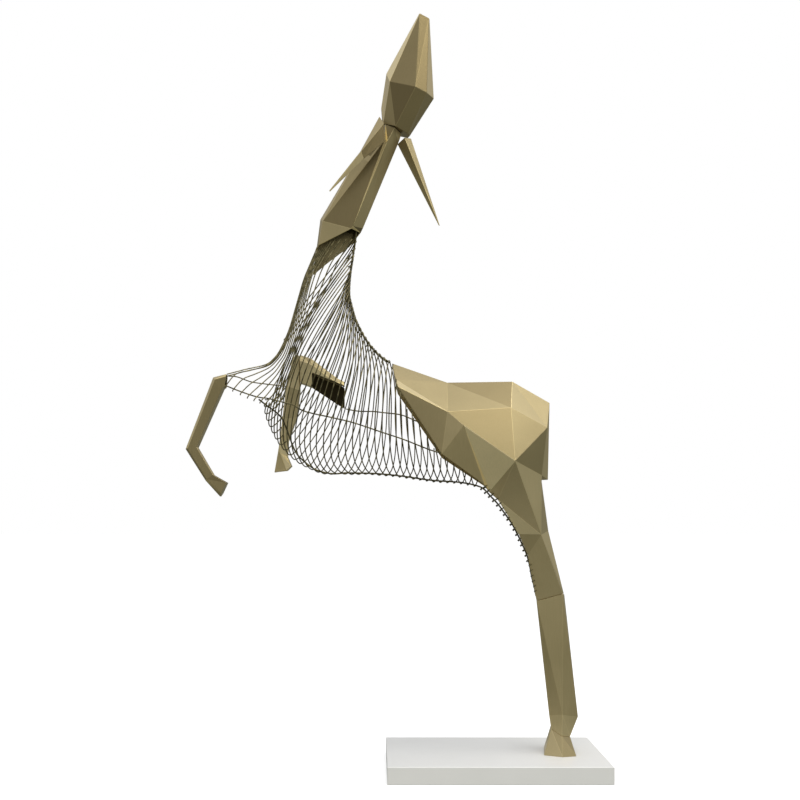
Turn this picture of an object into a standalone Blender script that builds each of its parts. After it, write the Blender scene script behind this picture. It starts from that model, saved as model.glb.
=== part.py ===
"""Rearing doe of folded brass-coloured sheet, with a body of bent rods, on a thin white plinth.

Metres, +Z up, +X towards the tail and the near side at -Y. The origin is at the centre of the
plinth's underside. The doe's own mid-plane is Y = 0.
"""

import math

import bmesh
import bpy
from mathutils import Vector

# Driving dimensions
PLINTH_LENGTH = 0.660
PLINTH_DEPTH = 0.420
PLINTH_HEIGHT = 0.052
PLINTH_EDGE = 0.0015
SHEET = 0.003
GAP = 0.0003
SEAM_GAP = 0.0015
RIB_RADIUS = 0.0017
SPINE_RADIUS = 0.0025
KEEL_RADIUS = 0.0025
THROAT_RADIUS = 0.0020
FLANK_RADIUS = 0.0020
SPINE_HALF_SPREAD = 0.009
ROD_CLEARANCE = 0.0022
ROD_GAP = 0.0010
CANNON_REACH = 0.038
HAUNCH_MARGIN = 0.004
SHOULDER_REACH = 0.0055
VIEWPOINT_X = -0.3565
VIEWPOINT_DISTANCE = 3.4
RIB_COUNT = 37
FIRST_RIB_AT_KEEL = 2.95
LAST_RIB_AT_KEEL = 11.45
RIB_POINTS = 28
TURN_SAMPLES = 180
SHOULDER_WIRES = 5

# Colour, metallic value and roughness
WHITE_PAINT = ((0.86, 0.86, 0.85), 0.0, 0.40)
BRASS_PLATE = ((0.42, 0.34, 0.17), 0.85, 0.38)
DARK_BRASS = ((0.20, 0.18, 0.10), 0.85, 0.42)

# Folded plates of the near half of the hindquarters: each corner by its place on the animal
HIND_CORNERS = {
    "withers": (-0.312, 0.000, 1.251),
    "saddle": (-0.303, -0.070, 1.194),
    "shoulder": (-0.297, -0.105, 1.168),
    "loin": (-0.143, 0.000, 1.192),
    "croup": (0.059, 0.000, 1.195),
    "dock": (0.174, 0.000, 1.129),
    "flank_top": (-0.149, -0.125, 1.091),
    "flank": (-0.103, -0.140, 1.049),
    "hip_top": (0.043, -0.100, 1.105),
    "rump": (0.154, -0.085, 1.046),
    "hip": (0.046, -0.175, 0.942),
    "notch": (-0.167, -0.135, 0.965),
    "groin": (-0.040, -0.125, 0.874),
    "stifle": (-0.024, -0.118, 0.854),
    "buttock": (0.143, -0.045, 0.903),
    "tail_tip": (0.169, 0.000, 0.891),
    "under_tail": (0.149, 0.000, 0.890),
    "thigh_front": (0.005, -0.085, 0.830),
    "knee_front": (0.072, -0.050, 0.724),
    "knee_side": (0.139, -0.062, 0.723),
    "knee_back": (0.170, 0.000, 0.734),
    "shin_front": (0.100, -0.047, 0.661),
    "seam_front": (0.129, -0.030, 0.520),
    "seam_side": (0.208, -0.042, 0.543),
    "seam_back": (0.218, 0.000, 0.540),
}
HIND_PLATES = (
    "withers saddle loin",
    "saddle shoulder flank_top loin",
    "loin flank_top hip_top croup",
    "croup hip_top rump dock",
    "flank_top flank hip_top",
    "flank hip hip_top",
    "hip_top hip rump",
    "rump hip buttock",
    "dock rump buttock tail_tip",
    "shoulder notch flank_top",
    "flank_top notch flank",
    "flank notch groin",
    "flank groin stifle hip",
    "hip stifle thigh_front knee_side",
    "thigh_front knee_front knee_side",
    "hip knee_side buttock",
    "tail_tip buttock under_tail",
    "under_tail buttock knee_side knee_back",
    "knee_front shin_front knee_side",
    "shin_front seam_front knee_side",
    "knee_side seam_front seam_side",
    "knee_side seam_side seam_back knee_back",
)

# Corners of the open front edge, whose far twins the near ones hide from the viewpoint
FRONT_EDGE = (
    "saddle",
    "shoulder",
    "notch",
    "groin",
    "stifle",
    "thigh_front",
    "knee_front",
    "shin_front",
    "seam_front",
)

# Head, nose up: corners of the near half, from the blunt nose to the base on the neck
HEAD_CORNERS = {
    "nose_front": (-0.230, 0.000, 2.331),
    "nose_left": (-0.228, -0.014, 2.327),
    "nose_right": (-0.200, -0.014, 2.312),
    "nose_back": (-0.197, 0.000, 2.315),
    "jaw": (-0.331, 0.000, 2.146),
    "cheek": (-0.321, -0.040, 2.107),
    "brow": (-0.243, -0.072, 2.079),
    "temple": (-0.208, -0.055, 2.067),
    "poll": (-0.184, 0.000, 2.069),
    "chin": (-0.347, 0.000, 2.040),
    "base_front": (-0.343, 0.000, 1.9858),
    "base_left": (-0.341, -0.022, 1.9850),
    "base_near": (-0.303, -0.042, 1.9698),
    "base_right": (-0.264, -0.022, 1.9542),
    "base_back": (-0.259, 0.000, 1.9522),
}
HEAD_PLATES = (
    "nose_front nose_left nose_right nose_back",
    "nose_front jaw cheek nose_left",
    "nose_left cheek brow",
    "nose_left brow nose_right",
    "nose_right brow temple",
    "nose_right temple poll nose_back",
    "jaw chin base_left cheek",
    "cheek base_left base_near brow",
    "brow base_near base_right temple",
    "temple base_right base_back poll",
    "chin base_front base_left",
    "base_front base_back base_right base_near base_left",
)

# Neck: the near corners of each ring from the throat round to the nape, then the slanting cut edge
NECK_RINGS = (
    ((-0.340, -0.008, 1.983), (-0.334, -0.026, 1.981), (-0.305, -0.034, 1.969), (-0.283, 0.000, 1.960)),
    ((-0.356, -0.010, 1.938), (-0.338, -0.034, 1.927), (-0.328, -0.040, 1.925), (-0.294, 0.000, 1.930)),
    ((-0.534, -0.014, 1.692), (-0.526, -0.038, 1.681), (-0.433, -0.050, 1.662), (-0.403, 0.000, 1.668)),
)
NECK_CUT_NEAR = ((-0.546, -0.014, 1.600), (-0.538, -0.034, 1.609), (-0.438, -0.050, 1.655))
NECK_CUT_NAPE = (-0.410, 0.000, 1.654)
NECK_CUT_FAR = ((-0.446, 0.050, 1.622), (-0.522, 0.045, 1.565), (-0.558, 0.014, 1.527))

# Ears: rings from the root to the tip, each as front, crease, rear and hidden corner
LEFT_EAR_RINGS = (
    ((-0.352, -0.030, 2.004), (-0.338, -0.062, 1.972), (-0.336, -0.066, 1.915), (-0.342, -0.040, 1.938)),
    ((-0.411, -0.058, 1.886), (-0.408, -0.084, 1.879), (-0.400, -0.082, 1.857), (-0.399, -0.060, 1.866)),
    ((-0.504, -0.086, 1.760), (-0.503, -0.090, 1.758), (-0.501, -0.089, 1.756), (-0.502, -0.085, 1.758)),
)
RIGHT_EAR_RINGS = (
    ((-0.296, 0.022, 1.936), (-0.275, -0.012, 1.945), (-0.254, 0.008, 1.949), (-0.268, 0.036, 1.940)),
    ((-0.168, 0.020, 1.682), (-0.166, 0.017, 1.681), (-0.164, 0.020, 1.682), (-0.166, 0.023, 1.683)),
)

# Hind leg below the seam: front, side and back corner of the near half at each level
SHANK_LEVELS = (
    ((0.129, -0.030, 0.520), (0.208, -0.042, 0.543), (0.218, -0.008, 0.540)),
    ((0.168, -0.030, 0.168), (0.205, -0.052, 0.174), (0.258, -0.020, 0.163)),
    ((0.173, -0.034, 0.129), (0.203, -0.054, 0.110), (0.232, -0.030, 0.104)),
)
HOOF_FOOT = ((0.148, -0.056), (0.201, -0.082), (0.244, -0.070))

# Forelegs about a plane of their own: (outer x, z), (inner x, z) and half depth at each bend, and
# where the outer bevel's edge isn't on the line between them, also its (x, z)
RAISED_PLANE = -0.090
RAISED_LEG = (
    ((-0.811, 1.206), (-0.815, 1.168), 0.024),
    ((-0.851, 1.196), (-0.821, 1.163), 0.024),
    ((-0.934, 0.981), (-0.899, 0.986), 0.021),
    ((-0.874, 0.886), (-0.850, 0.903), 0.019),
    ((-0.830, 0.838), (-0.810, 0.880), 0.026),
)
RAISED_MOUTH_DEPTH = 0.026
CANNON_PLANE = 0.070
CANNON = (
    ((-0.625, 1.277), (-0.604, 1.283), 0.020),
    ((-0.645, 1.188), (-0.602, 1.172), 0.024),
    ((-0.657, 1.084), (-0.612, 1.088), 0.023),
    ((-0.667, 1.008), (-0.638, 1.016), 0.019),
    ((-0.671, 0.982), (-0.641, 0.966), 0.020),
    ((-0.682, 0.916), (-0.628, 0.935), 0.030, (-0.643, 0.921)),
)
FOREARM_PLANE = 0.060
FOREARM = (
    ((-0.6010, 1.284), (-0.599, 1.196), 0.026),
    ((-0.564, 1.271), (-0.564, 1.184), 0.030),
    ((-0.482, 1.209), (-0.482, 1.130), 0.032),
    ((-0.462, 1.199), (-0.462, 1.118), 0.030),
)
FOREARM_WINDOW = ((-0.562, 1.226), (-0.440, 1.178))
FOREARM_WINDOW_DROP = 0.140

# Sections of the body's cage: spine x, z; keel x, z; half width between them
CAGE_SECTIONS = (
    (-0.421, 1.668, -0.534, 1.606, 0.034),
    (-0.431, 1.601, -0.608, 1.419, 0.060),
    (-0.443, 1.524, -0.672, 1.271, 0.085),
    (-0.446, 1.462, -0.706, 1.122, 0.110),
    (-0.437, 1.422, -0.667, 1.014, 0.125),
    (-0.425, 1.382, -0.606, 0.950, 0.132),
    (-0.403, 1.339, -0.530, 0.914, 0.136),
    (-0.372, 1.295, -0.449, 0.911, 0.137),
    (-0.332, 1.260, -0.366, 0.909, 0.131),
    (-0.288, 1.244, -0.282, 0.901, 0.130),
    (-0.211, 1.215, -0.190, 0.890, 0.162),
    (-0.118, 1.190, -0.097, 0.884, 0.170),
    (-0.026, 1.190, -0.023, 0.868, 0.150),
)
# How far towards the tail a wire has run at an eighth, a quarter, three eighths and half of its
# way round, counted from the section at which it leaves the spine: section, then the four runs
NEAR_RUNS = (
    (0.30, 0.10, 0.30, 0.80, 2.40),
    (0.75, 0.15, 0.40, 0.95, 2.45),
    (2.00, 0.45, 0.95, 1.60, 2.60),
    (2.75, 0.95, 1.55, 2.05, 2.85),
    (4.00, 0.75, 1.05, 1.50, 2.30),
    (6.10, 0.10, 0.25, 0.58, 1.20),
    (7.50, -0.10, -0.08, 0.18, 0.65),
    (8.90, -0.18, -0.24, -0.08, 0.20),
    (12.0, -0.18, -0.24, -0.08, 0.20),
)
FAR_RUNS = (
    (0.30, 0.20, 0.70, 1.30, 2.20),
    (2.00, 1.10, 1.70, 1.75, 1.80),
    (3.30, 1.80, 2.05, 1.75, 1.50),
    (6.00, 0.90, 1.15, 1.00, 0.70),
    (8.50, 0.42, 0.52, 0.44, 0.12),
    (12.0, 0.42, 0.52, 0.44, 0.12),
)

# Rod routes on the skin of the cage: section, and share of the way from spine to keel
NEAR_FLANK = ((4.0, 0.76), (5.8, 0.64), (7.2, 0.63), (8.85, 0.68), (10.05, 0.74))
FAR_FLANK = ((6.15, 0.50), (6.9, 0.475), (7.8, 0.43), (9.0, 0.41), (9.45, 0.42))
SHOULDER_ROUTE = (
    (-0.816, -0.090, 1.164),
    (-0.776, -0.096, 1.150),
    (-0.740, -0.100, 1.134),
    (-0.704, -0.104, 1.121),
    (-0.662, -0.108, 1.113),
)
NEAR_THROAT = (
    (-0.536, -0.008, 1.622),
    (-0.539, -0.008, 1.600),
    (-0.541, -0.008, 1.583),
    (-0.557, -0.010, 1.560),
    (-0.584, -0.014, 1.503),
    (-0.607, -0.018, 1.420),
    (-0.636, -0.024, 1.330),
    (-0.664, -0.032, 1.286),
    (-0.704, -0.050, 1.248),
    (-0.758, -0.074, 1.224),
    (-0.806, -0.086, 1.205),
)
FAR_THROAT = (
    (-0.537, 0.008, 1.622),
    (-0.543, 0.008, 1.580),
    (-0.547, 0.008, 1.545),
    (-0.550, 0.008, 1.530),
    (-0.568, 0.012, 1.506),
    (-0.588, 0.020, 1.460),
    (-0.604, 0.034, 1.400),
    (-0.611, 0.050, 1.340),
    (-0.612, 0.062, 1.289),
)
THIGH_ROUTE = (
    (-0.012, 0.000, 0.846),
    (0.030, 0.000, 0.782),
    (0.072, 0.000, 0.706),
    (0.100, 0.000, 0.640),
    (0.122, 0.000, 0.560),
    (0.129, 0.000, 0.532),
)


def clear_scene():
    for found in list(bpy.data.objects):
        bpy.data.objects.remove(found, do_unlink=True)


def new_collection(name):
    made = bpy.data.collections.new(name)
    bpy.context.scene.collection.children.link(made)
    return made


def material(name, finish):
    colour, metallic, roughness = finish
    made = bpy.data.materials.new(name)
    made.use_nodes = True
    shader = made.node_tree.nodes["Principled BSDF"]
    shader.inputs["Base Color"].default_value = (*colour, 1.0)
    shader.inputs["Metallic"].default_value = metallic
    shader.inputs["Roughness"].default_value = roughness
    made.diffuse_color = (*colour, 1.0)
    return made


def add_mesh(name, points, faces, finish, collection):
    """A mesh object with the faces turned outwards."""
    shape = bmesh.new()
    corners = [shape.verts.new(point) for point in points]
    for face in faces:
        shape.faces.new([corners[index] for index in face])
    bmesh.ops.recalc_face_normals(shape, faces=shape.faces)
    mesh = bpy.data.meshes.new(name)
    shape.to_mesh(mesh)
    shape.free()
    made = bpy.data.objects.new(name, mesh)
    mesh.materials.append(material(name, finish))
    collection.objects.link(made)
    return made


def mirrored(near):
    """A closed ring from the near corners, run round to the far side; corners at Y = 0 aren't doubled."""
    far = [(x, -y, z) for x, y, z in reversed(near) if y != 0]
    return list(near) + far


def far_twin(corner):
    """The far side's twin of a near corner, set back so that the near one hides it from the viewpoint."""
    x, y, z = corner
    return x - 2 * y * (x - VIEWPOINT_X) / VIEWPOINT_DISTANCE, -y, z


def leg_ring(near):
    """A closed ring of the hind leg, whose far front corner is hidden behind the near one."""
    return [*mirrored(near)[:-1], far_twin(near[0])]


def loft(name, rings, finish, collection, capped=True):
    """Plates between rings of equal corner counts, ended by flat caps if it is a closed form."""
    count = len(rings[0])
    points = [point for ring in rings for point in ring]
    faces = []
    for level in range(len(rings) - 1):
        for corner in range(count):
            following = (corner + 1) % count
            low, high = level * count, (level + 1) * count
            faces.append((low + corner, low + following, high + following, high + corner))
    if capped:
        faces.append(tuple(range(count)))
        faces.append(tuple(range(len(points) - count, len(points))))
    return add_mesh(name, points, faces, finish, collection)


def folded_form(name, corners, plates, hidden, finish, collection):
    """A form from named corners and plates of its near half; the far half is its mirror image, but
    with the hidden corners set back."""
    points = list(corners.values())
    near = {corner: index for index, corner in enumerate(corners)}
    far = dict(near)
    for corner, (x, y, z) in corners.items():
        if y != 0:
            far[corner] = len(points)
            points.append(far_twin((x, y, z)) if corner in hidden else (x, -y, z))
    faces = [[side[corner] for corner in plate.split()] for side in (near, far) for plate in plates]
    return add_mesh(name, points, faces, finish, collection)


def give_thickness(shell):
    wall = shell.modifiers.new("Sheet", "SOLIDIFY")
    wall.thickness = SHEET
    wall.offset = -1.0
    wall.use_even_offset = True
    wall.use_quality_normals = True


def cut(piece, cutter):
    cutter.hide_render = True
    cutter.display_type = "WIRE"
    opening = piece.modifiers.new("Cut by " + cutter.name, "BOOLEAN")
    opening.operation = "DIFFERENCE"
    opening.solver = "EXACT"
    opening.object = cutter


def rod(name, points, radius, resolution, finish, collection):
    """A round rod as a poly curve with filled caps."""
    curve = bpy.data.curves.new(name, "CURVE")
    curve.dimensions = "3D"
    curve.bevel_depth = radius
    curve.bevel_resolution = resolution
    curve.use_fill_caps = True
    spline = curve.splines.new("POLY")
    spline.points.add(len(points) - 1)
    for slot, point in zip(spline.points, points):
        slot.co = (*point, 1.0)
    curve.materials.append(material(name, finish))
    made = bpy.data.objects.new(name, curve)
    collection.objects.link(made)
    return made


def smooth_route(points, count):
    """Evenly many points on a smooth curve through the given ones."""
    route = [Vector(point) for point in points]
    return [curve_value(route, (len(route) - 1) * step / (count - 1)) for step in range(count)]


def table_value(table, at):
    """Straight-line reading of the columns after the first, at a value of the first."""
    if at <= table[0][0]:
        return table[0][1:]
    for low, high in zip(table, table[1:]):
        if at <= high[0]:
            share = (at - low[0]) / (high[0] - low[0])
            return tuple(a + (b - a) * share for a, b in zip(low[1:], high[1:]))
    return table[-1][1:]


def cage_section(u):
    """Spine point, keel point and half width of the cage at section u, smoothed between the sections."""
    spine_x, spine_z, keel_x, keel_z, half_width = (
        curve_value([row[column] for row in CAGE_SECTIONS], u) for column in range(5)
    )
    return Vector((spine_x, 0, spine_z)), Vector((keel_x, 0, keel_z)), half_width


def skin(u, angle):
    """A point on the cage: angle 0 at the spine, through the near flank to pi at the keel and round."""
    spine, keel, half_width = cage_section(u)
    middle = (spine + keel) / 2 + (spine - keel) / 2 * math.cos(angle)
    return Vector((middle.x, -half_width * math.sin(angle), middle.z))


def under_skin(u, angle, depth):
    """The skin's point moved inwards by a depth."""
    step = 0.01
    along = skin(u + step, angle) - skin(u - step, angle)
    around = skin(u, angle + step) - skin(u, angle - step)
    normal = along.cross(around).normalized()
    spine, keel, _ = cage_section(u)
    point = skin(u, angle)
    if normal.dot((spine + keel) / 2 - point) < 0:
        normal = -normal
    return point + normal * depth


def share_angle(share):
    """The angle at which the skin is this share of the way from spine to keel."""
    return math.acos(1 - 2 * share)


def curve_value(values, at):
    """Catmull-Rom reading of evenly spaced values; works on numbers and on vectors."""
    last = len(values) - 1
    at = min(max(at, 0.0), float(last))
    span = min(int(at), last - 1)
    t = at - span
    b, c = values[span], values[span + 1]
    a = values[span - 1] if span > 0 else 2 * b - c
    d = values[span + 2] if span + 2 <= last else 2 * c - b
    return 0.5 * (2 * b + (c - a) * t + (2 * a - 5 * b + 4 * c - d) * t**2 + (3 * b - a - 3 * c + d) * t**3)


def start_of(runs, keel_section):
    """The section at which a wire leaves the spine if it reaches the keel at keel_section."""
    arrivals = [(start + run[-1], start) for start, *run in runs]
    return table_value(arrivals, keel_section)[0]


def wire_sections(keel_section):
    """Sections that the wire through this place of the keel reaches at each eighth turn."""
    near = start_of(NEAR_RUNS, keel_section)
    far = start_of(FAR_RUNS, keel_section)
    down = [near + run for run in (0.0, *table_value(NEAR_RUNS, near))]
    up = [far + run for run in reversed((0.0, *table_value(FAR_RUNS, far)[:-1]))]
    return down + up


def keel_places(count, first, last):
    """Sections at which count wires cross the keel, evenly spaced along it."""
    steps = 400
    sections = [first + (last - first) * step / steps for step in range(steps + 1)]
    points = [cage_section(section)[1] for section in sections]
    lengths = [0.0]
    for low, high in zip(points, points[1:]):
        lengths.append(lengths[-1] + (high - low).length)
    pairs = list(zip(lengths, sections))
    return [table_value(pairs, lengths[-1] * place / (count - 1))[0] for place in range(count)]


def before_haunch(point):
    """Whether a point is in front of the haunch plates' front edge."""
    edge = [Vector(HIND_CORNERS[name]) for name in ("withers", "shoulder", "notch", "groin")]
    if point.y > 0:
        edge = [Vector(far_twin(corner)) for corner in edge]
    if point.z >= edge[0].z:
        return point.x < edge[0].x - HAUNCH_MARGIN
    for high, low in zip(edge, edge[1:]):
        if point.z >= low.z:
            share = (high.z - point.z) / (high.z - low.z)
            return point.x < high.x + (low.x - high.x) * share - HAUNCH_MARGIN
    return True


def distance_to_route(point, route):
    nearest = math.inf
    for low, high in zip(route, route[1:]):
        span = high - low
        share = min(max((point - low).dot(span) / span.length_squared, 0.0), 1.0)
        nearest = min(nearest, (point - low - span * share).length)
    return nearest


def longest_run(points, keep):
    best, current = [], []
    for point in points:
        if keep(point):
            current.append(point)
            continue
        best = max(best, current, key=len)
        current = []
    return max(best, current, key=len)


def even_points(points, count):
    """The same route with points spread evenly along its length."""
    lengths = [0.0]
    for low, high in zip(points, points[1:]):
        lengths.append(lengths[-1] + (high - low).length)
    found = []
    index = 0
    for step in range(count):
        target = lengths[-1] * step / (count - 1)
        while index < len(points) - 2 and lengths[index + 1] < target:
            index += 1
        span = lengths[index + 1] - lengths[index]
        share = (target - lengths[index]) / span if span else 0.0
        found.append(points[index].lerp(points[index + 1], min(share, 1.0)))
    return found


def make_plinth(finish, collection):
    shape = bmesh.new()
    bmesh.ops.create_cube(shape, size=1.0)
    size = Vector((PLINTH_LENGTH, PLINTH_DEPTH, PLINTH_HEIGHT))
    bmesh.ops.scale(shape, vec=size, verts=shape.verts)
    bmesh.ops.translate(shape, vec=(0, 0, PLINTH_HEIGHT / 2), verts=shape.verts)
    mesh = bpy.data.meshes.new("plinth")
    shape.to_mesh(mesh)
    shape.free()
    mesh.materials.append(material("plinth", finish))
    plinth = bpy.data.objects.new("plinth", mesh)
    collection.objects.link(plinth)
    edge = plinth.modifiers.new("Eased edges", "BEVEL")
    edge.width = PLINTH_EDGE
    edge.segments = 1
    return plinth


def make_hind_leg(finish, collection):
    top = [(x, y, z - SEAM_GAP) for x, y, z in SHANK_LEVELS[0]]
    loft("hind_shank", [leg_ring(level) for level in (top, *SHANK_LEVELS[1:])], finish, collection)
    ankle = [(x, y, z - GAP) for x, y, z in SHANK_LEVELS[-1]]
    foot = [(x, y, PLINTH_HEIGHT + GAP) for x, y in HOOF_FOOT]
    loft("hind_hoof", [leg_ring(ankle), leg_ring(foot)], finish, collection)


def make_head(finish, collection):
    names = list(HEAD_CORNERS)
    faces = [[names.index(corner) for corner in plate.split()] for plate in HEAD_PLATES]
    head = add_mesh("head", list(HEAD_CORNERS.values()), faces, finish, collection)
    mirror = head.modifiers.new("Other half", "MIRROR")
    mirror.use_axis = (False, True, False)
    mirror.merge_threshold = 0.0001


def make_neck(finish, collection):
    rings = [mirrored(ring) for ring in NECK_RINGS]
    rings.append([*NECK_CUT_NEAR, NECK_CUT_NAPE, *NECK_CUT_FAR])
    neck = loft("neck", rings, finish, collection, capped=False)
    give_thickness(neck)
    return neck


def limb_ring(plane, outer, inner, half_depth, shoulder=None):
    """Six corners of a box section whose outer edge is narrowed by a bevel."""
    bevel_share = 0.22
    narrow = 0.45 * half_depth
    shoulder = shoulder or tuple(a + (b - a) * bevel_share for a, b in zip(outer, inner))
    return [
        (outer[0], plane - narrow, outer[1]),
        (shoulder[0], plane - half_depth, shoulder[1]),
        (inner[0], plane - half_depth, inner[1]),
        (inner[0], plane + half_depth, inner[1]),
        (shoulder[0], plane + half_depth, shoulder[1]),
        (outer[0], plane + narrow, outer[1]),
    ]


def make_forelegs(finish, collection, cutters):
    raised = loft(
        "raised_foreleg",
        [limb_ring(RAISED_PLANE, *bend) for bend in RAISED_LEG],
        finish,
        collection,
    )
    (top_x, top_z), (low_x, low_z), half_depth = RAISED_LEG[0]
    mouth = [
        [
            (x + top_x, RAISED_PLANE - half_depth / 3, top_z - 2 * SHEET),
            (x + top_x, RAISED_PLANE + half_depth / 3, top_z - 2 * SHEET),
            (x + low_x, RAISED_PLANE + half_depth - 2 * SHEET, low_z + 2 * SHEET),
            (x + low_x, RAISED_PLANE - half_depth + 2 * SHEET, low_z + 2 * SHEET),
        ]
        for x in (0.010, -RAISED_MOUTH_DEPTH)
    ]
    cut(raised, loft("raised_foreleg_mouth", mouth, finish, cutters))
    loft("folded_cannon", [limb_ring(CANNON_PLANE, *bend) for bend in CANNON], finish, collection)
    forearm = loft(
        "folded_forearm",
        [limb_ring(FOREARM_PLANE, *bend) for bend in FOREARM],
        finish,
        collection,
    )
    half_depth = FOREARM[1][2]
    window = [
        [
            (x, FOREARM_PLANE - 2 * half_depth, top),
            (x, FOREARM_PLANE + half_depth - SHEET, top),
            (x, FOREARM_PLANE + half_depth - SHEET, top - FOREARM_WINDOW_DROP),
            (x, FOREARM_PLANE - 2 * half_depth, top - FOREARM_WINDOW_DROP),
        ]
        for x, top in FOREARM_WINDOW
    ]
    cut(forearm, loft("forearm_window", window, finish, cutters))


def spine_route():
    """Points of one spine rod's height line, from inside the neck to the withers."""
    return [cage_section(0.1 + 8.25 * step / 23)[0] for step in range(24)]


def keel_route():
    lift = KEEL_RADIUS + RIB_RADIUS + ROD_CLEARANCE
    chest = [under_skin(3.3 + 8.5 * step / 15, math.pi, lift) for step in range(16)]
    return smooth_route(chest + [Vector(point) for point in THIGH_ROUTE], 34)


def flank_route(stations, side, count):
    """A rod laid along the inside of the near (side -1) or far (side 1) wires."""
    lift = FLANK_RADIUS + RIB_RADIUS + ROD_CLEARANCE
    found = []
    for step in range(count):
        at = (len(stations) - 1) * step / (count - 1)
        u, share = (curve_value([station[column] for station in stations], at) for column in (0, 1))
        angle = share_angle(share)
        found.append(under_skin(u, angle if side < 0 else 2 * math.pi - angle, lift))
    return found


def make_rods(finish, collection):
    """The long rods, returned as routes with their radii so that the ribs can stop short of them."""
    routes = {}
    for name, side in (("spine_rod_near", -1), ("spine_rod_far", 1)):
        points = [point + Vector((0, side * SPINE_HALF_SPREAD, 0)) for point in spine_route()]
        routes[name] = (points, SPINE_RADIUS)
    routes["keel_rod"] = (keel_route(), KEEL_RADIUS)
    near = [Vector(point) for point in SHOULDER_ROUTE] + flank_route(NEAR_FLANK, -1, 18)
    routes["flank_rod_near"] = (near, FLANK_RADIUS)
    routes["flank_rod_far"] = (flank_route(FAR_FLANK, 1, 14), FLANK_RADIUS)
    routes["throat_rod_near"] = (smooth_route(NEAR_THROAT, 22), THROAT_RADIUS)
    routes["throat_rod_far"] = (smooth_route(FAR_THROAT, 16), THROAT_RADIUS)
    for name, (points, radius) in routes.items():
        rod(name, points, radius, 1, finish, collection)
    return routes


def make_ribs(routes, finish, collection):
    """Turns of wire from one side of the spine round under the keel to its other side."""
    beside_spine = SPINE_HALF_SPREAD + SPINE_RADIUS + RIB_RADIUS + GAP
    cannon = [
        Vector(((outer[0] + inner[0]) / 2, CANNON_PLANE, (outer[1] + inner[1]) / 2))
        for outer, inner, *_ in CANNON
    ]

    def kept(sections, angle):
        point = wire_point(sections, angle)
        if abs(point.y) < beside_spine and math.cos(angle) > 0:
            return False
        if not before_haunch(point) or distance_to_route(point, cannon) < CANNON_REACH:
            return False
        return all(
            distance_to_route(point, route) > radius + RIB_RADIUS + ROD_GAP
            for route, radius in routes.values()
        )

    angles = [2 * math.pi * step / TURN_SAMPLES for step in range(TURN_SAMPLES + 1)]
    for number, place in enumerate(keel_places(RIB_COUNT, FIRST_RIB_AT_KEEL, LAST_RIB_AT_KEEL)):
        sections = wire_sections(place)
        run = longest_run(angles, lambda angle: kept(sections, angle))
        if len(run) < TURN_SAMPLES / 12:
            continue
        points = [wire_point(sections, angle) for angle in rib_angles(run[0], run[-1])]
        rod(f"rib_{number + 1:02d}", points, RIB_RADIUS, 0, finish, collection)


def wire_point(sections, angle):
    """The skin's point at this angle of the wire with these sections."""
    return skin(curve_value(sections, angle * (len(sections) - 1) / (2 * math.pi)), angle)


def rib_angles(first, last):
    """Even angles from first to last, with one of them exactly under the keel if that is between."""
    step = 2 * math.pi / RIB_POINTS
    if not first < math.pi < last:
        count = max(round((last - first) / step), 3)
        return [first + (last - first) * place / count for place in range(count + 1)]
    down = max(round((math.pi - first) / step), 1)
    up = max(round((last - math.pi) / step), 1)
    falling = [first + (math.pi - first) * place / down for place in range(down)]
    rising = [math.pi + (last - math.pi) * place / up for place in range(up + 1)]
    return falling + rising


def make_shoulder_wires(routes, finish, collection):
    """Wires of the mesh arm, from the near throat rod down to the shoulder rod."""
    throat = routes["throat_rod_near"][0]
    shoulder = routes["flank_rod_near"][0]
    for number in range(SHOULDER_WIRES):
        share = (number + 0.5) / SHOULDER_WIRES
        low = shoulder[1].lerp(shoulder[5], share)
        high = throat[20].lerp(throat[16], share)
        bulge = Vector((0.006, -0.022 - 0.022 * share, 0.0))
        points = smooth_route([high, high.lerp(low, 0.33) + bulge, high.lerp(low, 0.7) + bulge, low], 40)
        run = longest_run(
            points,
            lambda point: min(distance_to_route(point, throat), distance_to_route(point, shoulder)) > SHOULDER_REACH,
        )
        rod(
            f"shoulder_wire_{number + 1}",
            even_points(run, 8),
            RIB_RADIUS,
            0,
            finish,
            collection,
        )


def main():
    clear_scene()
    parts = new_collection("Deer sculpture")
    cutters = new_collection("Cutters")
    make_plinth(WHITE_PAINT, parts)
    hindquarters = folded_form("hindquarters", HIND_CORNERS, HIND_PLATES, FRONT_EDGE, BRASS_PLATE, parts)
    give_thickness(hindquarters)
    make_hind_leg(BRASS_PLATE, parts)
    make_neck(BRASS_PLATE, parts)
    make_head(BRASS_PLATE, parts)
    loft("ear_left", LEFT_EAR_RINGS, BRASS_PLATE, parts)
    loft("ear_right", RIGHT_EAR_RINGS, BRASS_PLATE, parts)
    make_forelegs(BRASS_PLATE, parts, cutters)
    routes = make_rods(DARK_BRASS, parts)
    make_ribs(routes, DARK_BRASS, parts)
    make_shoulder_wires(routes, DARK_BRASS, parts)


main()
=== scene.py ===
"""Looks for the rearing doe: folded satin brass plates and a body of bent wires on a white plinth.

Metres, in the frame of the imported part: +Z up, +X towards the tail, the near side at -Y.
"""

import math

import bmesh
import bpy
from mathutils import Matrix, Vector
from mathutils.bvhtree import BVHTree


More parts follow.
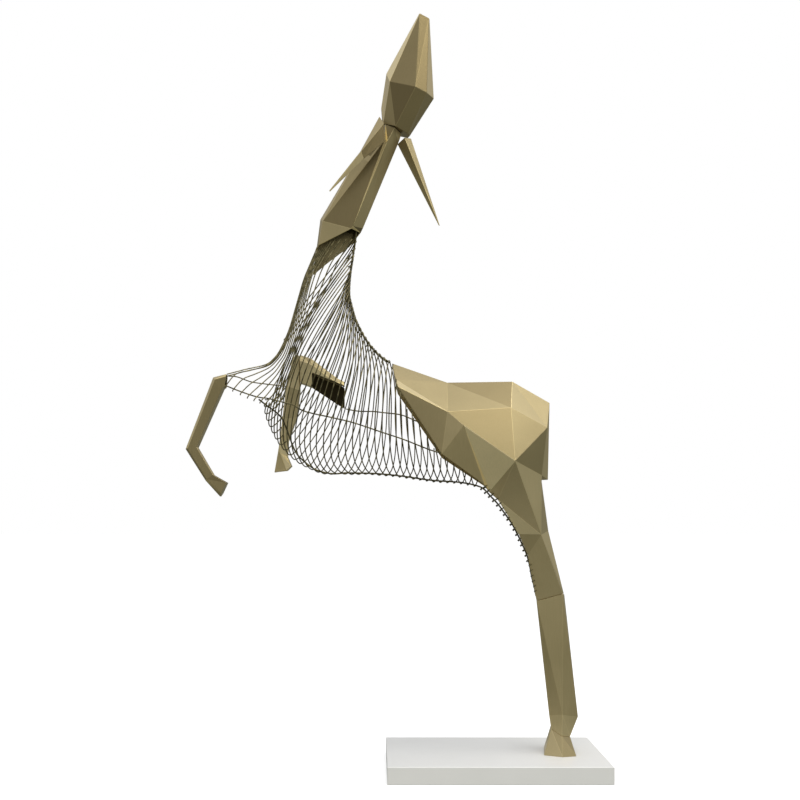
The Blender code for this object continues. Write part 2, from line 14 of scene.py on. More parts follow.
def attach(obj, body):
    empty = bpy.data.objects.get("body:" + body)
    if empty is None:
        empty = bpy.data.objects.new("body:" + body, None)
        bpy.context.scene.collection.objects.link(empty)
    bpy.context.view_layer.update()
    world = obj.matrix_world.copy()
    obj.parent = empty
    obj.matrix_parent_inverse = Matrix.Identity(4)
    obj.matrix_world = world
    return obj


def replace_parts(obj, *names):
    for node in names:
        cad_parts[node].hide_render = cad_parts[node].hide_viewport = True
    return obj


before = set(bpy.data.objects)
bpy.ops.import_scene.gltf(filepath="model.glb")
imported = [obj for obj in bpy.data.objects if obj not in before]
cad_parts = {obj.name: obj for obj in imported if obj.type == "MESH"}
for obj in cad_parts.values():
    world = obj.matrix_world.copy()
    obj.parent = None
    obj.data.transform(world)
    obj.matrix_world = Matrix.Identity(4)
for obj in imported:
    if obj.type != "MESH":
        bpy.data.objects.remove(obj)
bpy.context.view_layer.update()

PLATE_NODES = (
    "hindquarters",
    "hind_shank",
    "hind_hoof",
    "neck",
    "head",
    "ear_left",
    "ear_right",
    "raised_foreleg",
    "folded_forearm",
    "folded_cannon",
)

# The photograph's camera: level, 3.4 m in front of the doe's mid-plane
CAMERA_PLACE = (-0.3565, -3.4, 0.804)
CAMERA_LENS_MM = 49.5
CAMERA_SENSOR_MM = 36.0
CAMERA_SHIFT = (0.0275, 0.135)

# The thin wires. Places along the cage are told by section, counted from 0 in the table below
WIRE_RADIUS = 0.0018
WIRE_COUNT = 38
WIRE_STEPS = 96
WIRES_AT_KEEL = (2.85, 11.5)
FEWEST_WIRE_POINTS = 4
# How far a wire is lifted where it saddles the spine rods. More sharpness makes the saddle narrower
SADDLE_LIFT = 0.0045
SADDLE_SHARPNESS = 40
# How far a wire dips under the keel rod, in the same way. It changes from wire to wire, down to the
# least share of the full hook
KEEL_HOOK = 0.0030
HOOK_SHARPNESS = 60
LEAST_HOOK_SHARE = 0.4
HOOK_CHANGE = 2.4
# On the near side the first wires stop at the height of the arm's lower rod, below its strands
WIRES_UNDER_ARM = 4
ARM_ROD_HEIGHT = 1.128
# How far a wire reaches past the open edge of the haunch plates
HAUNCH_OVERLAP = 0.001
# Short wires on the neck's far side: section at the spine, and section at the keel. They stop when
# this share of the way is done
NECK_WIRES = ((0.15, 1.20), (0.35, 1.46), (0.55, 1.72), (0.75, 1.98))
NECK_WIRE_TURN = 0.93
NECK_WIRE_POINTS = 41

# The long rods. The two of the spine run over its span, and the keel rod lies at its depth inside
# the wires over the belly's span
SPINE_RADIUS = 0.0025
SPINE_HALF_SPREAD = 0.009
SPINE_SPAN = (0.1, 8.35)
KEEL_RADIUS = 0.0025
KEEL_DEPTH = 0.0015
BELLY_SPAN = (6.9, 11.4)
FLANK_RADIUS = 0.0020

# Each strand ends in a tail past the arm's lower rod. The arm's outline is drawn twice on the near
# side, and its first points once on the far side
ARM_STRANDS = 10
STRAND_TAIL = Vector((-0.005, 0.003, -0.008))
INNER_OUTLINE_OFFSET = Vector((0.004, -0.002, -0.005))
FAR_OUTLINE_OFFSET = 0.003
FAR_OUTLINE_POINTS = 6

# The laces cross the keel rod on the thigh, a little below the plate edge that they come from. The
# upper ones start inside that edge and are knotted on the rod, as the last wires are at the belly
LACE_COUNT = 22
KNOTTED_LACES = 16
KNOTTED_LACE_INSET = 0.004
LACE_DROP = 0.005
LACE_OFFSET = Vector((-0.002, 0.0, -0.002))
LACE_END = Vector((0.005, 0.0, 0.003))
KNOT_RADIUS = 0.0029
THIGH_KNOT = Vector((-0.004, 0.0, -0.004))
BELLY_KNOTS = 15
BELLY_KNOT = Vector((0.001, 0.0, -0.004))

# Hooks over the spine rods: where they lie along the cage, how far they slant and how long they hang
HOOK_COUNT = 24
HOOK_SPAN = (0.5, 8.0)
HOOK_LEAN = 0.006
HOOK_LEGS = 0.010

# Plates: folds sharper than the fold angle are eased, and carry a painted highlight a little brighter than
# the plates
MERGE_DISTANCE = 0.00002
FLAT_ANGLE = math.radians(1.5)
FOLD_ANGLE = math.radians(7)
FOLD_WIDTH = 0.0008
FOLD_PAINTED_HIGHLIGHT = 1.12
# A face narrower than this is the cut rim of a sheet, painted lighter as a highlight. One that looks at
# another plate within reach is an inside, painted darker as shade. The haunches' inside is painted lighter
# instead, as painted light where no light of the room gets there
RIM_WIDTH = 0.007
RIM_PAINTED_HIGHLIGHT = (1.6, 1.6, 1.5)
INSIDE_REACH = 0.6
INSIDE_CLEARANCE = 0.0005
INSIDE_PAINTED_SHADE = (0.42, 0.40, 0.33)
HAUNCH_INSIDE_PAINTED_LIGHT = (1.40, 1.36, 1.25)
# Powers of a plate's painted light and shade factor in red, green and blue, which make the plates with
# painted shade warmer
PAINTED_LIGHT_AND_SHADE_POWERS = (1.0, 1.05, 1.2)

# The neck's throat edge is broken at this point, across the line to the top, and lifted there
THROAT_BREAK = Vector((-0.400, 0.0, 1.8735))
THROAT_TOP = Vector((-0.346, 0.0, 1.948))
THROAT_LIFT = 0.022
THROAT_DEPTH = 0.008

# Light of the room by height of the direction: -1 is straight down, 1 straight up
ROOM_LIGHT = (
    (-1.0, 0.14),
    (-0.35, 0.20),
    (-0.08, 0.29),
    (0.10, 0.33),
    (0.35, 0.44),
    (0.65, 0.72),
    (1.0, 1.0),
)
ROOM_STRENGTH = 2.0
# Directions below this height have the low tint, and the others the high one
TINT_CHANGE_HEIGHT = 0.3
LOW_TINT = (0.97, 1.01, 0.87)
HIGH_TINT = (0.98, 0.99, 1.02)
LAMP_COLOUR = (1.0, 0.97, 0.90)
FLOOR_HALF_SIZE = 30.0

# The haunch plates' open front edge on the near side, from the withers to the groin
HAUNCH_EDGE = (
    (-0.312, 0.000, 1.251),
    (-0.297, -0.105, 1.168),
    (-0.167, -0.135, 0.965),
    (-0.040, -0.125, 0.874),
)

# Sections of the cage: spine x, z; keel x, z; half width between them
CAGE_SECTIONS = (
    (-0.421, 1.668, -0.534, 1.606, 0.034),
    (-0.431, 1.601, -0.608, 1.419, 0.060),
    (-0.443, 1.524, -0.672, 1.271, 0.085),
    (-0.446, 1.462, -0.706, 1.122, 0.110),
    (-0.437, 1.422, -0.667, 1.014, 0.125),
    (-0.425, 1.382, -0.606, 0.950, 0.132),
    (-0.403, 1.339, -0.530, 0.914, 0.136),
    (-0.372, 1.295, -0.449, 0.911, 0.137),
    (-0.332, 1.260, -0.366, 0.909, 0.131),
    (-0.288, 1.244, -0.282, 0.901, 0.130),
    (-0.211, 1.215, -0.190, 0.888, 0.137),
    (-0.118, 1.190, -0.097, 0.881, 0.138),
    (-0.026, 1.190, -0.023, 0.865, 0.130),
)

# How far towards the tail a wire has run at an eighth, a quarter, three eighths and half of its
# way round, counted from the section at which it leaves the spine: section, then the four runs
NEAR_RUNS = (
    (0.30, 0.15, 0.80, 2.20, 2.50),
    (0.75, 0.25, 0.95, 2.15, 2.50),
    (2.00, 0.45, 1.05, 1.90, 2.60),
    (2.75, 0.95, 1.55, 2.05, 2.85),
    (4.00, 0.75, 1.05, 1.50, 2.30),
    (6.10, 0.10, 0.25, 0.58, 1.20),
    (7.50, -0.10, -0.08, 0.18, 0.65),
    (8.90, -0.18, -0.24, -0.08, 0.20),
    (12.0, -0.18, -0.24, -0.08, 0.20),
)
FAR_RUNS = (
    (1.40, 0.90, 1.40, 1.50, 1.45),
    (2.40, 1.40, 1.80, 1.65, 1.50),
    (3.30, 1.80, 2.05, 1.75, 1.50),
    (6.00, 0.90, 1.15, 1.00, 0.70),
    (8.50, 0.42, 0.52, 0.44, 0.12),
    (12.0, 0.42, 0.52, 0.44, 0.12),
)

# Places that the flank rods pass: section, and share of the height from the spine down to the keel
NEAR_FLANK = ((4.0, 0.76), (5.8, 0.64), (7.2, 0.63), (8.85, 0.68), (10.05, 0.74))
FAR_FLANK = ((6.15, 0.50), (6.9, 0.475), (7.8, 0.43), (9.0, 0.41), (9.45, 0.42))
NEAR_FLANK_END = (-0.170, -0.136, 0.967)
FAR_FLANK_END = (-0.232, 0.119, 1.081)
# The near flank rod starts as the arm's lower rod
SHOULDER_ROUTE = (
    (-0.814, -0.090, 1.172),
    (-0.767, -0.096, 1.153),
    (-0.718, -0.100, 1.137),
    (-0.684, -0.103, 1.132),
    (-0.632, -0.108, 1.118),
)

# The keel rod's last part, down the open front of the thigh, and the near plate edge beside it
THIGH_ROUTE = (
    (-0.034, 0.000, 0.866),
    (-0.010, 0.000, 0.842),
    (0.015, 0.000, 0.815),
    (0.036, 0.000, 0.786),
    (0.057, 0.000, 0.756),
    (0.074, 0.000, 0.724),
    (0.089, 0.000, 0.692),
    (0.103, 0.000, 0.660),
    (0.112, 0.000, 0.627),
    (0.118, 0.000, 0.594),
    (0.126, 0.000, 0.562),
    (0.132, 0.000, 0.532),
)
THIGH_EDGE = (
    (-0.040, -0.125, 0.874),
    (-0.024, -0.118, 0.854),
    (0.005, -0.085, 0.830),
    (0.072, -0.050, 0.724),
    (0.100, -0.047, 0.661),
    (0.129, -0.030, 0.528),
)

# The raised arm's strands leave the neck in a band and fan out over the arm's lower rod. These are
# four of them, from the arm's tip to the chest, and the others lie between
TIP_STRAND = (
    (-0.544, -0.012, 1.608),
    (-0.566, -0.012, 1.549),
    (-0.584, -0.012, 1.500),
    (-0.609, -0.014, 1.417),
    (-0.629, -0.018, 1.348),
    (-0.654, -0.026, 1.287),
    (-0.675, -0.036, 1.257),
    (-0.701, -0.050, 1.236),
    (-0.744, -0.066, 1.221),
    (-0.785, -0.082, 1.208),
    (-0.812, -0.093, 1.174),
)
MIDDLE_STRAND = (
    (-0.522, -0.024, 1.608),
    (-0.555, -0.022, 1.547),
    (-0.573, -0.025, 1.494),
    (-0.595, -0.030, 1.414),
    (-0.615, -0.038, 1.345),
    (-0.635, -0.048, 1.276),
    (-0.651, -0.056, 1.245),
    (-0.670, -0.065, 1.216),
    (-0.698, -0.077, 1.188),
    (-0.722, -0.090, 1.164),
    (-0.744, -0.102, 1.141),
)
INNER_STRAND = (
    (-0.488, -0.034, 1.624),
    (-0.537, -0.034, 1.545),
    (-0.558, -0.040, 1.488),
    (-0.577, -0.050, 1.410),
    (-0.596, -0.062, 1.341),
    (-0.617, -0.072, 1.270),
    (-0.628, -0.080, 1.236),
    (-0.644, -0.088, 1.198),
    (-0.660, -0.096, 1.164),
    (-0.674, -0.103, 1.140),
    (-0.690, -0.108, 1.120),
)
CHEST_STRAND = (
    (-0.436, -0.030, 1.628),
    (-0.479, -0.044, 1.555),
    (-0.508, -0.056, 1.485),
    (-0.544, -0.070, 1.406),
    (-0.574, -0.084, 1.338),
    (-0.597, -0.095, 1.267),
    (-0.608, -0.100, 1.230),
    (-0.622, -0.104, 1.191),
    (-0.633, -0.107, 1.157),
    (-0.644, -0.109, 1.133),
    (-0.656, -0.110, 1.112),
)

# The wire along the arm's outline, and the rod inside the arm
ARM_OUTLINE = (
    (-0.546, -0.004, 1.604),
    (-0.570, -0.004, 1.548),
    (-0.587, -0.004, 1.505),
    (-0.611, -0.006, 1.421),
    (-0.631, -0.010, 1.353),
    (-0.656, -0.018, 1.293),
    (-0.677, -0.028, 1.261),
    (-0.702, -0.042, 1.241),
    (-0.756, -0.064, 1.225),
    (-0.811, -0.088, 1.207),
)
INNER_ARM_ROD = (
    (-0.811, -0.084, 1.202),
    (-0.784, -0.060, 1.202),
    (-0.747, -0.030, 1.191),
    (-0.710, 0.000, 1.188),
    (-0.644, 0.045, 1.185),
)

# The keel rod's first part, from the arm's lower rod behind the hanging shin to the belly
CHEST_ROUTE = (
    (-0.714, -0.096, 1.130),
    (-0.693, -0.070, 1.114),
    (-0.671, -0.035, 1.099),
    (-0.654, -0.010, 1.082),
    (-0.641, 0.000, 1.054),
    (-0.630, 0.000, 1.023),
    (-0.611, 0.000, 0.977),
    (-0.587, 0.000, 0.950),
    (-0.548, 0.000, 0.922),
    (-0.499, 0.000, 0.910),
)

# Painted light and shade of the plates, one factor for each plate in place of the light its facet gets: the
# factor, then x and z of the middles of the plates that have it
PLATE_PAINTED_LIGHT_AND_SHADE = {
    "hindquarters": (
        (1.95, (-0.03, 0.95), (0.07, 0.76)),
        (1.45, (-0.25, 1.15), (-0.06, 0.93), (0.11, 0.86), (0.18, 0.67)),
        (1.22, (0.01, 0.875), (0.085, 1.115), (0.16, 0.97), (0.06, 0.83), (0.12, 0.635), (0.16, 0.595)),
        (1.03, (-0.14, 1.035), (-0.10, 0.96), (0.13, 1.12), (0.11, 0.96), (0.15, 0.78), (0.10, 0.70)),
        (0.84, (-0.25, 1.21), (-0.20, 1.16), (-0.08, 1.13), (-0.20, 1.075), (0.08, 1.03), (0.19, 0.60)),
        (0.64, (-0.015, 1.165), (-0.04, 1.05)),
    ),
    "hind_shank": (
        (1.50, (0.213, 0.13), (0.232, 0.147)),
        (1.17, (0.19, 0.15), (0.18, 0.136), (0.18, 0.41), (0.224, 0.29), (0.228, 0.414)),
        (0.95, (0.167, 0.287)),
    ),
    "hind_hoof": ((1.20, (0.174, 0.078)), (0.96, (0.19, 0.10), (0.216, 0.07), (0.226, 0.09))),
    "neck": (
        (1.60, (-0.294, 1.953)),
        (1.12, (-0.50, 1.65), (-0.47, 1.77), (-0.39, 1.75), (-0.33, 1.87), (-0.53, 1.66)),
        (0.84, (-0.407, 1.85), (-0.337, 1.964), (-0.54, 1.63)),
        (0.54, (-0.434, 1.73), (-0.366, 1.84)),
        (0.40, (-0.322, 1.958), (-0.415, 1.66)),
    ),
    "head": (
        (1.70, (-0.294, 2.195)),
        (1.40, (-0.34, 2.057), (-0.331, 2.08), (-0.197, 2.15), (-0.194, 2.23)),
        (0.74, (-0.302, 1.97), (-0.255, 2.017), (-0.244, 1.99), (-0.217, 2.03), (-0.322, 2.02)),
        (0.55, (-0.264, 2.17), (-0.26, 2.255)),
        (0.42, (-0.289, 2.05), (-0.217, 2.153), (-0.224, 2.24)),
    ),
    "ear_left": (
        (1.25, (-0.436, 1.831)),
        (0.90, (-0.441, 1.841), (-0.39, 1.923), (-0.366, 1.952)),
        (0.44, (-0.382, 1.903), (-0.358, 1.915)),
    ),
    "ear_right": ((1.12, (-0.231, 1.859), (-0.246, 1.854)), (0.50, (-0.202, 1.769))),
    "raised_foreleg": (
        (1.40, (-0.874, 1.122), (-0.874, 0.944)),
        (1.05, (-0.904, 1.053), (-0.843, 0.857), (-0.86, 1.074), (-0.813, 1.187)),
        (0.84, (-0.855, 1.06), (-0.835, 0.872), (-0.90, 0.935)),
        (0.55, (-0.843, 0.891)),
    ),
    "folded_forearm": (
        (1.95, (-0.549, 1.208), (-0.582, 1.224)),
        (1.30, (-0.504, 1.213), (-0.589, 1.267), (-0.537, 1.244)),
        (1.00, (-0.576, 1.269)),
        # The nearly black plate in the arm's open window is painted shade
        (0.08, (-0.50, 1.172)),
    ),
    "folded_cannon": (
        (1.95, (-0.651, 0.993), (-0.615, 1.229), (-0.662, 1.02), (-0.635, 1.216), (-0.627, 1.247)),
        (1.75, (-0.645, 0.945), (-0.649, 1.11), (-0.639, 1.05), (-0.603, 1.227)),
        (1.35, (-0.665, 0.94), (-0.624, 1.132), (-0.635, 0.951), (-0.625, 1.052)),
    ),
}


def evenly(first, last, count):
    """Evenly spaced values from the first to the last."""
    return [first + (last - first) * step / (count - 1) for step in range(count)]


def curve_value(values, at):
    """Catmull-Rom reading of evenly spaced values; works on numbers and on vectors."""
    last = len(values) - 1
    at = min(max(at, 0.0), float(last))
    span = min(int(at), last - 1)
    t = at - span
    b, c = values[span], values[span + 1]
    a = values[span - 1] if span > 0 else 2 * b - c
    d = values[span + 2] if span + 2 <= last else 2 * c - b
    slope = (c - a) * t
    bend = (2 * a - 5 * b + 4 * c - d) * t**2
    twist = (3 * b - a - 3 * c + d) * t**3
    return 0.5 * (2 * b + slope + bend + twist)


def smooth_route(points, count):
    """This many points of the smooth curve through the given ones."""
    route = [Vector(point) for point in points]
    return [curve_value(route, at) for at in evenly(0.0, len(route) - 1, count)]


def table_value(table, at):
    """Straight-line reading of the columns after the first, at a value of the first."""
    if at <= table[0][0]:
        return table[0][1:]
    for low, high in zip(table, table[1:]):
        if at <= high[0]:
            share = (at - low[0]) / (high[0] - low[0])
            return tuple(a + (b - a) * share for a, b in zip(low[1:], high[1:]))
    return table[-1][1:]


def cage_section(section):
    """The cage's spine point, keel point and half width at this section."""
    spine_x, spine_z, keel_x, keel_z, half_width = (
        curve_value([row[column] for row in CAGE_SECTIONS], section) for column in range(5)
    )
    return Vector((spine_x, 0, spine_z)), Vector((keel_x, 0, keel_z)), half_width


def skin(section, angle):
    """A point on the cage: angle 0 at the spine, through the near flank to pi at the keel and round."""
    spine, keel, half_width = cage_section(section)
    middle = (spine + keel) / 2 + (spine - keel) / 2 * math.cos(angle)
    return Vector((middle.x, -half_width * math.sin(angle), middle.z))


def under_skin(section, angle, depth):
    """A point that lies this deep inside the cage's skin."""
    step = 0.01
    along = skin(section + step, angle) - skin(section - step, angle)
    around = skin(section, angle + step) - skin(section, angle - step)
    normal = along.cross(around).normalized()
    spine, keel, _ = cage_section(section)
    point = skin(section, angle)
    if normal.dot((spine + keel) / 2 - point) < 0:
        normal = -normal
    return point + normal * depth


def start_of(runs, keel_section):
    """The section at the spine of the wire that reaches the keel at this one."""
    arrivals = [(start + run[-1], start) for start, *run in runs]
    return table_value(arrivals, keel_section)[0]


def wire_sections(keel_section):
    """Sections that the wire through this place of the keel reaches at each eighth of its turn."""
    near = start_of(NEAR_RUNS, keel_section)
    far = start_of(FAR_RUNS, keel_section)
    down = [near + run for run in (0.0, *table_value(NEAR_RUNS, near))]
    up = [far + run for run in reversed((0.0, *table_value(FAR_RUNS, far)[:-1]))]
    return down + up


def keel_places(count, first, last):
    """Sections at which this many wires cross the keel, evenly spaced along its length."""
    sections = evenly(first, last, 401)
    points = [cage_section(section)[1] for section in sections]
    lengths = [0.0]
    for low, high in zip(points, points[1:]):
        lengths.append(lengths[-1] + (high - low).length)
    pairs = list(zip(lengths, sections))
    return [table_value(pairs, place)[0] for place in evenly(0.0, lengths[-1], count)]


def far_twin(corner):
    """The far side's twin of a near corner, roughly where the near one hides it from the camera."""
    x, y, z = corner
    return x + 2 * y * (x - CAMERA_PLACE[0]) / CAMERA_PLACE[1], -y, z


def haunch_edge_x(y, z):
    """Where the open front edge of the haunch plates is at this height; there is none below the groin."""
    edge = [Vector(far_twin(corner) if y > 0 else corner) for corner in HAUNCH_EDGE]
    if z >= edge[0].z:
        return edge[0].x
    for high, low in zip(edge, edge[1:]):
        if z >= low.z:
            return high.x + (low.x - high.x) * (high.z - z) / (high.z - low.z)
    return math.inf


def hook_depth(number):
    """How far this wire's hook dips under the keel rod."""
    return KEEL_HOOK * (LEAST_HOOK_SHARE + (1 - LEAST_HOOK_SHARE) * abs(math.sin(HOOK_CHANGE * number)))


def wire_point(sections, angle, hook):
    """The wire's point at this angle: it saddles the two spine rods and hooks under the keel rod."""
    section = curve_value(sections, angle * (len(sections) - 1) / (2 * math.pi))
    spine, keel, _ = cage_section(section)
    out = (spine - keel).normalized()
    over = max(0.0, math.cos(angle)) ** SADDLE_SHARPNESS
    under = max(0.0, -math.cos(angle)) ** HOOK_SHARPNESS
    return skin(section, angle) + out * (SADDLE_LIFT * over - hook * under)


def longest_run(items, keep):
    """The longest row of neighbours that all pass the test."""
    best, current = [], []
    for item in items:
        if keep(item):
            current.append(item)
            continue
        best = max(best, current, key=len)
        current = []
    return max(best, current, key=len)


def tube(name, routes, radius, finish, roundness=2):
    """One curve object of round wires, a poly spline for each route."""
    curve = bpy.data.curves.new(name, "CURVE")
    curve.dimensions = "3D"
    curve.bevel_depth = radius
    curve.bevel_resolution = roundness
    curve.use_fill_caps = True
    for route in routes:
        spline = curve.splines.new("POLY")
        spline.points.add(len(route) - 1)
        for slot, point in zip(spline.points, route):
            slot.co = (*point, 1.0)
        spline.use_smooth = True
    made = bpy.data.objects.new(name, curve)
    made.data.materials.append(finish)
    bpy.context.scene.collection.objects.link(made)
    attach(made, "root")
    return made


def new_material(name):
    """A material, its node tree and its shader."""
    made = bpy.data.materials.new(name)
    made.use_nodes = True
    return made, made.node_tree, made.node_tree.nodes["Principled BSDF"]


def object_place(tree):
    """The place on the object, which the textures read."""
    return tree.nodes.new("ShaderNodeTexCoord").outputs["Object"]


def add_noise(tree, place, scale, detail):
    """The value of a noise texture."""
    noise = tree.nodes.new("ShaderNodeTexNoise")
    noise.inputs["Scale"].default_value = scale
    noise.inputs["Detail"].default_value = detail
    tree.links.new(place, noise.inputs["Vector"])
    return noise.outputs["Fac"]


def add_tint(tree, value, dark, light):
    """A colour between a dark and a light one. Each is given by its place on the ramp and its colour."""
    tint = tree.nodes.new("ShaderNodeValToRGB")
    for slot, (position, colour) in zip(tint.color_ramp.elements, (dark, light)):
        slot.position = position
        slot.color = (*colour, 1.0)
    tree.links.new(value, tint.inputs["Fac"])
    return tint.outputs["Color"]


def set_roughness(tree, shader, value, low, high):
    """Lets the shader's roughness follow a value between two bounds."""
    rough = tree.nodes.new("ShaderNodeMapRange")
    rough.inputs["To Min"].default_value = low
    rough.inputs["To Max"].default_value = high
    tree.links.new(value, rough.inputs["Value"])
    tree.links.new(rough.outputs["Result"], shader.inputs["Roughness"])


def set_bump(tree, shader, value, strength, distance):
    """Lets the shader's normal follow a value as a fine relief."""
    bump = tree.nodes.new("ShaderNodeBump")
    bump.inputs["Strength"].default_value = strength
    bump.inputs["Distance"].default_value = distance
    tree.links.new(value, bump.inputs["Height"])
    tree.links.new(bump.outputs["Normal"], shader.inputs["Normal"])


def brushed_brass(name, light, dark):
    """Satin metal: painted light and shade for each plate, a cloudy tint and fine brushing along the sheet.
    """
    made, tree, shader = new_material(name)
    shader.inputs["Metallic"].default_value = 0.8
    place = object_place(tree)
    stretch = tree.nodes.new("ShaderNodeMapping")
    stretch.inputs["Scale"].default_value = (420.0, 420.0, 17.5)
    tree.links.new(place, stretch.inputs["Vector"])
    grain = add_noise(tree, stretch.outputs["Vector"], scale=1.0, detail=3.0)
    cloud = add_noise(tree, place, scale=4.5, detail=4.0)
    mixed = tree.nodes.new("ShaderNodeMix")
    mixed.inputs["Factor"].default_value = 0.30
    tree.links.new(cloud, mixed.inputs["A"])
    tree.links.new(grain, mixed.inputs["B"])
    tint = add_tint(tree, mixed.outputs["Result"], (0.34, dark), (0.66, light))
    painted_light_and_shade = tree.nodes.new("ShaderNodeAttribute")
    painted_light_and_shade.attribute_name = "painted_light_and_shade"
    toned = tree.nodes.new("ShaderNodeVectorMath")
    toned.operation = "MULTIPLY"
    tree.links.new(tint, toned.inputs[0])
    tree.links.new(painted_light_and_shade.outputs["Color"], toned.inputs[1])
    tree.links.new(toned.outputs["Vector"], shader.inputs["Base Color"])
    set_roughness(tree, shader, mixed.outputs["Result"], 0.32, 0.48)
    set_bump(tree, shader, grain, strength=0.10, distance=0.0006)
    return made


def wire_metal(name, light, dark):
    """Brass rod with a mottled patina."""
    made, tree, shader = new_material(name)
    shader.inputs["Metallic"].default_value = 0.75
    patina = add_noise(tree, object_place(tree), scale=70.0, detail=3.0)
    tint = add_tint(tree, patina, (0.35, dark), (0.70, light))
    tree.links.new(tint, shader.inputs["Base Color"])
    set_roughness(tree, shader, patina, 0.30, 0.50)
    set_bump(tree, shader, patina, strength=0.08, distance=0.0003)
    return made


def white_paint():
    """The plinth's paint: slightly uneven white with a fine orange peel."""
    made, tree, shader = new_material("plinth_white_paint")
    place = object_place(tree)
    cloud = add_noise(tree, place, scale=9.0, detail=5.0)
    tint = add_tint(tree, cloud, (0.0, (0.80, 0.80, 0.785)), (1.0, (0.86, 0.86, 0.85)))
    tree.links.new(tint, shader.inputs["Base Color"])
    shader.inputs["Roughness"].default_value = 0.42
    peel = add_noise(tree, place, scale=260.0, detail=2.0)
    set_bump(tree, shader, peel, strength=0.04, distance=0.0004)
    return made


def plate_painted_light_and_shade(name, centre):
    """The plate's painted light and shade, as a colour that multiplies the metal's."""
    places = [(painted_light_and_shade, x, z) for painted_light_and_shade, *middles in PLATE_PAINTED_LIGHT_AND_SHADE[name] for x, z in middles]
    painted_light_and_shade = min(places, key=lambda place: math.hypot(centre.x - place[1], centre.z - place[2]))[0]
    return tuple(painted_light_and_shade**power for power in PAINTED_LIGHT_AND_SHADE_POWERS)


def face_painted_light_and_shade(name, face, surface):
    """The painted light and shade of a rim, an inside or a plate, whichever this face is."""
    if face.calc_area() < RIM_WIDTH * max(edge.calc_length() for edge in face.edges):
        return RIM_PAINTED_HIGHLIGHT
    centre = face.calc_center_median()
    hit = surface.ray_cast(centre + face.normal * INSIDE_CLEARANCE, face.normal, INSIDE_REACH)[0]
    if hit is None:
        return plate_painted_light_and_shade(name, centre)
    return HAUNCH_INSIDE_PAINTED_LIGHT if name == "hindquarters" else INSIDE_PAINTED_SHADE


def arch_throat(shape):
    """Breaks the neck's straight throat edge and lifts it outwards there."""
    along = (THROAT_TOP - THROAT_BREAK).normalized()
    outwards = Vector((-along.z, 0.0, along.x))
    parts = [*shape.verts, *shape.edges, *shape.faces]
    cut = bmesh.ops.bisect_plane(shape, geom=parts, dist=0.00001, plane_co=THROAT_BREAK, plane_no=along)
    corners = [part for part in cut["geom_cut"] if isinstance(part, bmesh.types.BMVert)]
    reach = max(corner.co.dot(outwards) for corner in corners)
    for corner in corners:
        if reach - corner.co.dot(outwards) < THROAT_DEPTH:
            corner.co += outwards * THROAT_LIFT


def ease_folds(shape, painted_light_and_shade):
    """A narrow flat in place of each sharp fold, with a painted highlight that makes it slightly brighter.
    """
    folds = [edge for edge in shape.edges if edge.calc_face_angle(0.0) > FOLD_ANGLE]
    made = bmesh.ops.bevel(
        shape, geom=folds, offset=FOLD_WIDTH, segments=1, profile=0.5, affect="EDGES", clamp_overlap=True
    )
    for face in made["faces"]:
        face[painted_light_and_shade] = (*(value * FOLD_PAINTED_HIGHLIGHT for value in face[painted_light_and_shade][:3]), 1.0)
    bmesh.ops.dissolve_degenerate(shape, edges=shape.edges, dist=MERGE_DISTANCE)


def dress_plates(name, finish):
    """A plate form with eased folds that carry a painted highlight, and each plate in painted light and
    shade of its own.
    """
    shape = bmesh.new()
    shape.from_mesh(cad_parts[name].data)
    bmesh.ops.remove_doubles(shape, verts=shape.verts, dist=MERGE_DISTANCE)
    bmesh.ops.dissolve_limit(shape, angle_limit=FLAT_ANGLE, verts=shape.verts, edges=shape.edges)
    bmesh.ops.recalc_face_normals(shape, faces=shape.faces)
    surface = BVHTree.FromBMesh(shape)
    painted_light_and_shade = shape.faces.layers.float_color.new("painted_light_and_shade")
    for face in shape.faces:
        face[painted_light_and_shade] = (*face_painted_light_and_shade(name, face, surface), 1.0)
    if name == "neck":
        arch_throat(shape)
    ease_folds(shape, painted_light_and_shade)
    mesh = bpy.data.meshes.new(name + "_dressed")
    shape.to_mesh(mesh)
    shape.free()
    mesh.materials.append(finish)
    piece = bpy.data.objects.new(name + "_plates", mesh)
    bpy.context.scene.collection.objects.link(piece)
    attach(piece, "root")
    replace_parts(piece, name)


def dress_plinth():
    """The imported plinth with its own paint."""
    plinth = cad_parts["plinth"]
    plinth.data.materials.clear()
    plinth.data.materials.append(white_paint())


def body_wires():
    """Wires wound round the body, each as far as it runs in front of the haunches."""
    routes = []
    angles = evenly(0.0, 2 * math.pi, WIRE_STEPS + 1)
    for number, place in enumerate(keel_places(WIRE_COUNT, *WIRES_AT_KEEL)):
        sections = wire_sections(place)
        points = [wire_point(sections, angle, hook_depth(number)) for angle in angles]
        if number < WIRES_UNDER_ARM:
            points = [point for point in points if point.y > 0 or point.z < ARM_ROD_HEIGHT]
        kept = longest_run(points, lambda point: point.x < haunch_edge_x(point.y, point.z) + HAUNCH_OVERLAP)
        if len(kept) >= FEWEST_WIRE_POINTS:
            routes.append(kept)
    return routes


def neck_wires():
    """Short wires on the neck's far side, from the spine most of the way to the keel."""
    routes = []
    shares = evenly(0.0, NECK_WIRE_TURN, NECK_WIRE_POINTS)
    for start, end in NECK_WIRES:
        routes.append([skin(start + (end - start) * share, math.pi * (2 - share)) for share in shares])
    return routes


def make_cage_wires(finish):
    """One piece of all thin wires of the cage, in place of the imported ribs."""
    ribs = [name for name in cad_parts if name.startswith("rib_")]
    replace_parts(tube("cage_wires", body_wires() + neck_wires(), WIRE_RADIUS, finish), *ribs)


def flank_route(stations, side, count):
    """A rod's route along the flank, just inside the wires; the near side is -1 and the far one 1."""
    found = []
    for at in evenly(0.0, len(stations) - 1, count):
        section, share = (curve_value([station[column] for station in stations], at) for column in (0, 1))
        turn = math.acos(1 - 2 * share)
        angle = turn if side < 0 else 2 * math.pi - turn
        found.append(under_skin(section, angle, FLANK_RADIUS + WIRE_RADIUS))
    return found


